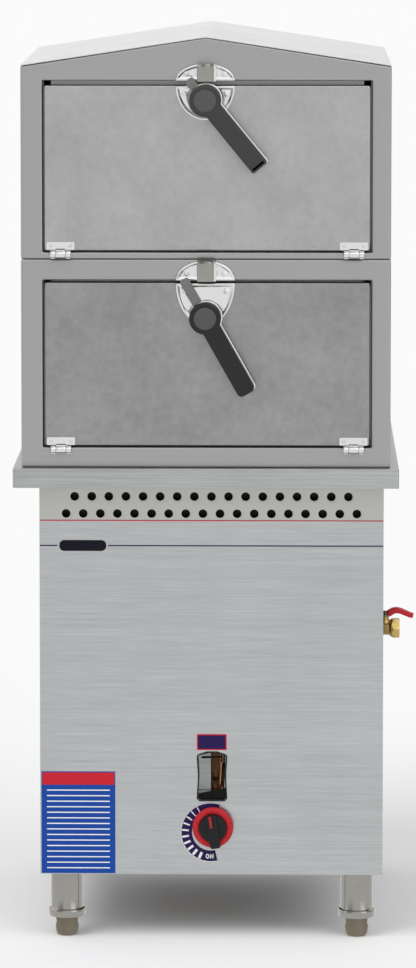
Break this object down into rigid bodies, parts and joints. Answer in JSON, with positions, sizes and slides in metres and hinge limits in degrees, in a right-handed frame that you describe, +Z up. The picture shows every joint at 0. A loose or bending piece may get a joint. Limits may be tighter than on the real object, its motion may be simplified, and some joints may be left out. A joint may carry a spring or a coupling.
{
  "type": "gas steamer",
  "caption": "Free-standing gas steamer: tiered steam cabinet with drop-down doors and latch handles over a water tank, burner, drain valve and screwed feet.",
  "frame": {"origin": "middle of the bounding box's bottom, on the floor between the feet", "axes": "+Z up, +X to the right of someone who faces the doors, doors on the -Y side"},
  "size_m": [0.6562, 0.6568, 1.492],
  "materials": {
    "brushed_steel": "fine horizontal brushing",
    "vent_steel": "fine horizontal brushing, warmer and lighter",
    "cabinet_steel": "satin, softly mottled",
    "polished_steel": "polished",
    "chrome": "bright plated",
    "cast_metal": "cast, dull",
    "brass": "cast and machined brass",
    "copper": "drawn copper tube",
    "red_vinyl": "dipped vinyl, glossy",
    "red_plastic": "glossy red",
    "black_plastic": "dark satin",
    "black_enamel": "glossy black",
    "navy_print": "printed navy",
    "silicone_rubber": "soft matt"
  },
  "bodies": {
    "base": {"ledge": "brushed_steel", "front_panel": "brushed_steel", "vent_strip": "vent_steel", "left_panel": "brushed_steel", "right_panel": "brushed_steel", "back_panel": "brushed_steel", "base_frame": "brushed_steel", "leg_front_left": "polished_steel", "leg_front_right": "polished_steel", "leg_back_left": "polished_steel", "leg_back_right": "polished_steel", "water_tank": "brushed_steel", "drain_pipe": "brass", "drain_valve_body": "brass", "gas_control_valve": "brass", "dial_plate": "navy_print", "sight_port": "black_enamel", "gas_inlet_pipe": "copper", "burner_pipe": "copper", "burner_head": "cast_metal", "burner_bracket": "brushed_steel", "pilot_burner": "copper", "lower_casing": "cabinet_steel", "upper_casing": "cabinet_steel", "lower_front_frame": "cabinet_steel", "upper_front_frame": "cabinet_steel", "roof": "cabinet_steel", "lower_rack": "cabinet_steel", "upper_rack": "cabinet_steel", "lower_strike": "chrome", "upper_strike": "chrome", "upper_hinge_bracket_left": "chrome", "upper_hinge_bracket_right": "chrome", "lower_hinge_bracket_left": "chrome", "lower_hinge_bracket_right": "chrome"},
    "drain_handle": {"drain_valve_ball": "polished_steel", "drain_lever": "red_vinyl", "drain_lever_nut": "polished_steel"},
    "gas_plunger": {"gas_valve_plunger": "polished_steel"},
    "gas_knob": {"knob_spindle": "polished_steel", "gas_knob": "black_plastic", "knob_ring": "red_plastic"},
    "upper_door": {"upper_door_skin": "cabinet_steel", "upper_door_inner": "cabinet_steel", "upper_gasket": "silicone_rubber", "upper_latch_plate": "chrome"},
    "upper_latch": {"upper_latch_arm": "chrome", "upper_latch_grip": "black_plastic"},
    "lower_door": {"lower_door_skin": "cabinet_steel", "lower_door_inner": "cabinet_steel", "lower_gasket": "silicone_rubber", "lower_latch_plate": "chrome"},
    "lower_latch": {"lower_latch_arm": "chrome", "lower_latch_grip": "black_plastic"},
    "foot_front_left": {"foot_front_left": "cast_metal"},
    "foot_front_right": {"foot_front_right": "cast_metal"},
    "foot_back_left": {"foot_back_left": "cast_metal"},
    "foot_back_right": {"foot_back_right": "cast_metal"}
  },
  "joints": [
    {"name": "upper_door_hinge", "type": "hinge", "parent": "base", "child": "upper_door", "pos_m": [-0.0109, -0.29385, 1.1385], "axis": [1, 0, 0], "range_deg": [0, 90]},
    {"name": "upper_latch_turn", "type": "hinge", "parent": "upper_door", "child": "upper_latch", "pos_m": [-0.0139, -0.29385, 1.3899], "axis": [0, 1, 0], "range_deg": [-50, 39.3]},
    {"name": "lower_door_hinge", "type": "hinge", "parent": "base", "child": "lower_door", "pos_m": [-0.0109, -0.29385, 0.819], "axis": [1, 0, 0], "range_deg": [0, 90]},
    {"name": "lower_latch_turn", "type": "hinge", "parent": "lower_door", "child": "lower_latch", "pos_m": [-0.0139, -0.29385, 1.0366], "axis": [0, 1, 0], "range_deg": [-50, 29.5]},
    {"name": "drain_lever_turn", "type": "hinge", "parent": "base", "child": "drain_handle", "pos_m": [0.2815, -0.21655, 0.511], "axis": [0, 0, 1], "range_deg": [0, 90]},
    {"name": "gas_knob_push", "type": "slide", "parent": "base", "child": "gas_plunger", "axis": [0, 1, 0], "range_m": [0, 0.006], "stiffness_N_per_m": 800, "springref_m": -0.004},
    {"name": "gas_knob_turn", "type": "hinge", "parent": "gas_plunger", "child": "gas_knob", "pos_m": [-0.0017, -0.26855, 0.191], "axis": [0, -1, 0], "range_deg": [0, 180]},
    {"name": "foot_front_left_screw", "type": "slide", "parent": "base", "child": "foot_front_left", "axis": [0, 0, -1], "range_m": [0, 0.025]},
    {"name": "foot_front_right_screw", "type": "slide", "parent": "base", "child": "foot_front_right", "axis": [0, 0, -1], "range_m": [0, 0.025]},
    {"name": "foot_back_left_screw", "type": "slide", "parent": "base", "child": "foot_back_left", "axis": [0, 0, -1], "range_m": [0, 0.025]},
    {"name": "foot_back_right_screw", "type": "slide", "parent": "base", "child": "foot_back_right", "axis": [0, 0, -1], "range_m": [0, 0.025]}
  ]
}
